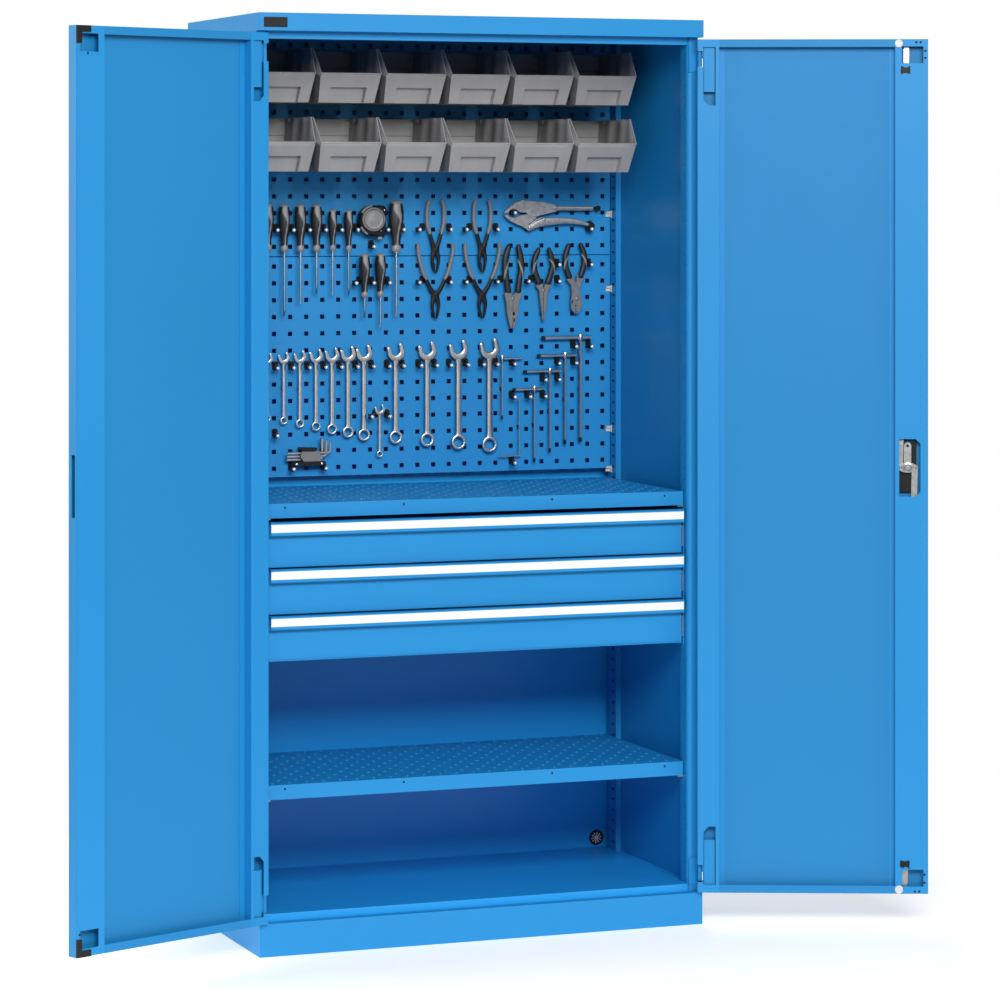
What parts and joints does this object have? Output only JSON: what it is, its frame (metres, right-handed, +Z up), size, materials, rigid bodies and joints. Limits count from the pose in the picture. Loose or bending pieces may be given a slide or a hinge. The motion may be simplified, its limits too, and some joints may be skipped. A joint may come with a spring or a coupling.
{
  "type": "tool cabinet with doors",
  "caption": "Tall two-door steel cabinet with perforated rear panels, hung bins and tools, drawers, shelves and a rod lock.",
  "frame": {"origin": "centre of the plinth's underside, on the floor", "axes": "+Z up, -Y toward the front opening, +X to the right seen from the front"},
  "size_m": [1.9382, 0.7698, 2],
  "materials": {
    "blue_paint": "semi-gloss powder coat",
    "zinc_steel": "zinc plated",
    "clip_grey": "matt light grey",
    "strip_white": "satin label strip",
    "black_steel": "black coated",
    "black_plastic": "matt moulded",
    "bumper_white": "matt moulded",
    "bin_grey": "moulded with fine texture",
    "tool_steel": "satin chrome",
    "grip_grey": "dipped grip",
    "ball_chrome": "polished"
  },
  "bodies": {
    "carcass": {"plinth": "blue_paint", "floor_panel": "blue_paint", "side_panel_right": "blue_paint", "side_panel_left": "blue_paint", "front_stiles": "blue_paint", "rear_uprights": "blue_paint", "back_panel": "blue_paint", "cable_rosette": "black_plastic", "front_top_rail": "blue_paint", "top_cap": "blue_paint", "cap_plate": "black_plastic", "peg_panel_upper": "blue_paint", "peg_panel_lower": "blue_paint", "panel_clips": "clip_grey", "shelf_upper": "blue_paint", "shelf_lower": "blue_paint", "shelf_clips": "zinc_steel", "drawer_frames": "blue_paint", "runners_fixed": "zinc_steel", "hinge_leaves": "black_steel", "bins_upper": "bin_grey", "bins_lower": "bin_grey", "bin_rails": "blue_paint", "wrenches": "tool_steel", "screwdriver_handles": "black_plastic", "screwdriver_blades": "tool_steel", "pliers_steel": "tool_steel", "pliers_black": "black_plastic", "pliers_grey_grips": "grip_grey", "hex_keys": "tool_steel", "key_holder": "black_plastic", "tape_measure": "black_plastic", "tool_hooks": "black_plastic", "hook_balls": "ball_chrome"},
    "door_right": {"door_shell_right": "blue_paint", "door_frame_right": "blue_paint", "hinge_blocks_right": "black_steel", "door_bumpers": "bumper_white", "lock_housing": "black_plastic"},
    "door_left": {"door_shell_left": "blue_paint", "door_frame_left": "blue_paint", "hinge_blocks_left": "black_steel", "corner_blocks": "black_plastic"},
    "lock": {"turn_handle": "black_plastic", "lock_spindle": "zinc_steel", "lock_tongue": "zinc_steel"},
    "rod_upper": {"lock_rod_upper": "zinc_steel"},
    "rod_lower": {"lock_rod_lower": "zinc_steel"},
    "drawer_1": {"drawer_box_1": "blue_paint", "drawer_front_1": "blue_paint", "label_strip_1": "strip_white"},
    "runner_1": {"runner_middle_1": "zinc_steel"},
    "drawer_2": {"drawer_box_2": "blue_paint", "drawer_front_2": "blue_paint", "label_strip_2": "strip_white"},
    "runner_2": {"runner_middle_2": "zinc_steel"},
    "drawer_3": {"drawer_box_3": "blue_paint", "drawer_front_3": "blue_paint", "label_strip_3": "strip_white"},
    "runner_3": {"runner_middle_3": "zinc_steel"}
  },
  "joints": [
    {"name": "right_door_hinge", "type": "hinge", "parent": "carcass", "child": "door_right", "pos_m": [0.505, -0.2715, 1], "axis": [0, 0, 1], "range_deg": [-156.5, 3.5]},
    {"name": "left_door_hinge", "type": "hinge", "parent": "carcass", "child": "door_left", "pos_m": [-0.505, -0.2715, 1], "axis": [0, 0, -1], "range_deg": [-156.5, 3.5]},
    {"name": "lock_turn", "type": "hinge", "parent": "door_right", "child": "lock", "pos_m": [0.92188, -0.46258, 1.0115], "axis": [0.3987, 0.9171, 0], "range_deg": [0, 90]},
    {"name": "upper_rod_pivot", "type": "hinge", "parent": "lock", "child": "rod_upper", "pos_m": [0.90877, -0.45262, 1.0115], "axis": [0.3987, 0.9171, 0], "range_deg": [-91.5, 0]},
    {"name": "lower_rod_pivot", "type": "hinge", "parent": "lock", "child": "rod_lower", "pos_m": [0.93811, -0.46538, 1.0115], "axis": [0.3987, 0.9171, 0], "range_deg": [-91.5, 0]},
    {"name": "drawer_slide_1", "type": "slide", "parent": "carcass", "child": "drawer_1", "axis": [0, -1, 0], "range_m": [0, 0.42]},
    {"name": "runner_slide_1", "type": "slide", "parent": "carcass", "child": "runner_1", "axis": [0, -1, 0], "range_m": [0, 0.21]},
    {"name": "drawer_slide_2", "type": "slide", "parent": "carcass", "child": "drawer_2", "axis": [0, -1, 0], "range_m": [0, 0.42]},
    {"name": "runner_slide_2", "type": "slide", "parent": "carcass", "child": "runner_2", "axis": [0, -1, 0], "range_m": [0, 0.21]},
    {"name": "drawer_slide_3", "type": "slide", "parent": "carcass", "child": "drawer_3", "axis": [0, -1, 0], "range_m": [0, 0.42]},
    {"name": "runner_slide_3", "type": "slide", "parent": "carcass", "child": "runner_3", "axis": [0, -1, 0], "range_m": [0, 0.21]}
  ],
  "couplings": [
    {"joint": "upper_rod_pivot", "follows": "lock_turn", "ratio": -1.0112},
    {"joint": "lower_rod_pivot", "follows": "lock_turn", "ratio": -1.0109},
    {"joint": "runner_slide_1", "follows": "drawer_slide_1", "ratio": 0.5},
    {"joint": "runner_slide_2", "follows": "drawer_slide_2", "ratio": 0.5},
    {"joint": "runner_slide_3", "follows": "drawer_slide_3", "ratio": 0.5}
  ]
}
